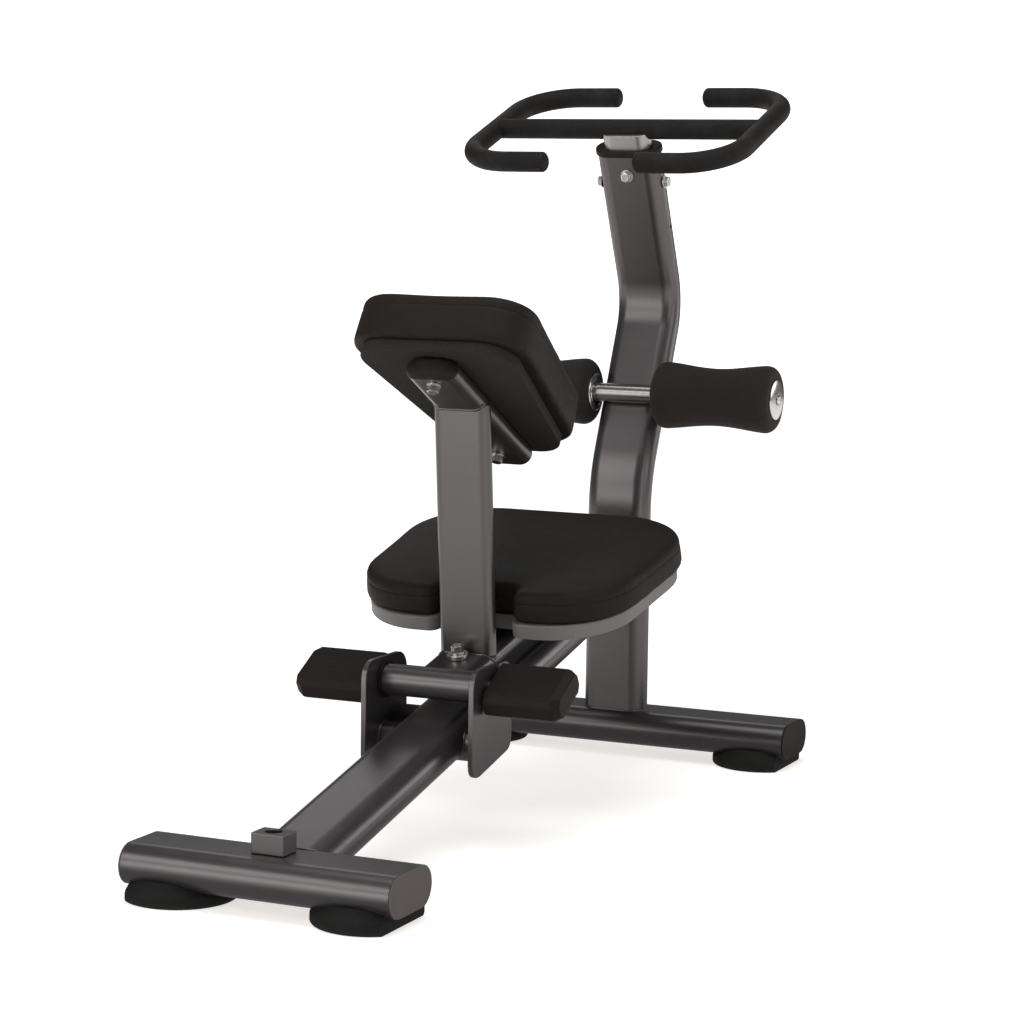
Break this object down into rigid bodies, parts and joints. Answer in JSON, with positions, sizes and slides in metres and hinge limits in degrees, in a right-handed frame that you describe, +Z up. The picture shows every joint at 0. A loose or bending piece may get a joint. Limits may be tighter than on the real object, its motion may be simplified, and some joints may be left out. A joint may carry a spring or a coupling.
{
  "type": "stretching machine",
  "caption": "Floor-standing stretching machine with a kneeling seat and upper pad on a rocking frame, foot grips, leg rollers and a handlebar on a bent upright.",
  "frame": {"origin": "on the floor, under the middle of the whole machine's box", "axes": "+Z up, +Y from the short rear crossbar to the handlebar end, which the user faces, +X to the user's right"},
  "size_m": [0.66, 1.5019, 1.1736],
  "materials": {
    "graphite": "satin metallic powder coat",
    "cap_grey": "moulded, fine texture",
    "black_plastic": "moulded, satin",
    "bar_black": "soft black grip coating",
    "rubber": "matte",
    "vinyl": "fine-grained upholstery vinyl",
    "foam": "closed-cell foam with a smooth skin",
    "shell_grey": "moulded, satin",
    "board": "black covered plywood",
    "chrome": "polished",
    "zinc": "zinc plated",
    "silver": "silver paint",
    "steel": "ground shaft"
  },
  "bodies": {
    "frame": {"rear_crossbar": "graphite", "front_crossbar": "graphite", "rear_end_cap_left": "cap_grey", "rear_end_cap_right": "cap_grey", "front_end_cap_left": "black_plastic", "front_end_cap_right": "black_plastic", "rear_foot_left": "rubber", "rear_foot_right": "rubber", "front_foot_left": "rubber", "front_foot_right": "rubber", "main_rail": "graphite", "socket_block": "graphite", "side_plate_left": "graphite", "side_plate_right": "graphite", "stub_tube_left": "graphite", "stub_tube_right": "graphite", "pivot_shaft": "steel", "foot_grip_left": "black_plastic", "foot_grip_right": "black_plastic", "rest_bumper": "rubber", "upright": "graphite", "stem_collar": "black_plastic", "stem": "silver", "stem_bolt_rear": "zinc", "stem_bolt_left": "zinc", "stem_bolt_right": "zinc", "handlebar_cross_tube": "bar_black", "handle_left": "bar_black", "handle_right": "bar_black", "handle_plug_rear_left": "black_plastic", "handle_plug_rear_right": "black_plastic", "handle_plug_front_left": "black_plastic", "handle_plug_front_right": "black_plastic", "roller_axle": "chrome", "axle_bolt_left": "zinc", "axle_bolt_right": "zinc"},
    "rocker": {"pivot_tube": "graphite", "bushing_left": "black_plastic", "bushing_right": "black_plastic", "seat_beam": "graphite", "beam_end_cap": "black_plastic", "beam_bolt": "zinc", "seat_mount_rear": "black_plastic", "seat_mount_front": "black_plastic", "seat_shell": "shell_grey", "seat_cushion": "vinyl", "post": "graphite", "pad_tube": "graphite", "pad_tube_cap_rear": "black_plastic", "pad_tube_cap_front": "black_plastic", "pad_bolt_rear": "zinc", "pad_bolt_front": "zinc", "pad_board": "board", "pad_cushion": "vinyl"},
    "roller_left": {"roller_foam_left": "foam", "roller_hub_left": "chrome", "roller_cap_left": "chrome"},
    "roller_right": {"roller_foam_right": "foam", "roller_hub_right": "chrome", "roller_cap_right": "chrome"}
  },
  "joints": [
    {"name": "rock", "type": "hinge", "parent": "frame", "child": "rocker", "pos_m": [0, -0.165, 0.236], "axis": [1, 0, 0], "range_deg": [0, 20]},
    {"name": "roller_left_spin", "type": "hinge", "parent": "frame", "child": "roller_left", "pos_m": [0, 0.58816, 0.636], "axis": [1, 0, 0], "continuous": true},
    {"name": "roller_right_spin", "type": "hinge", "parent": "frame", "child": "roller_right", "pos_m": [0, 0.58816, 0.636], "axis": [1, 0, 0], "continuous": true}
  ]
}
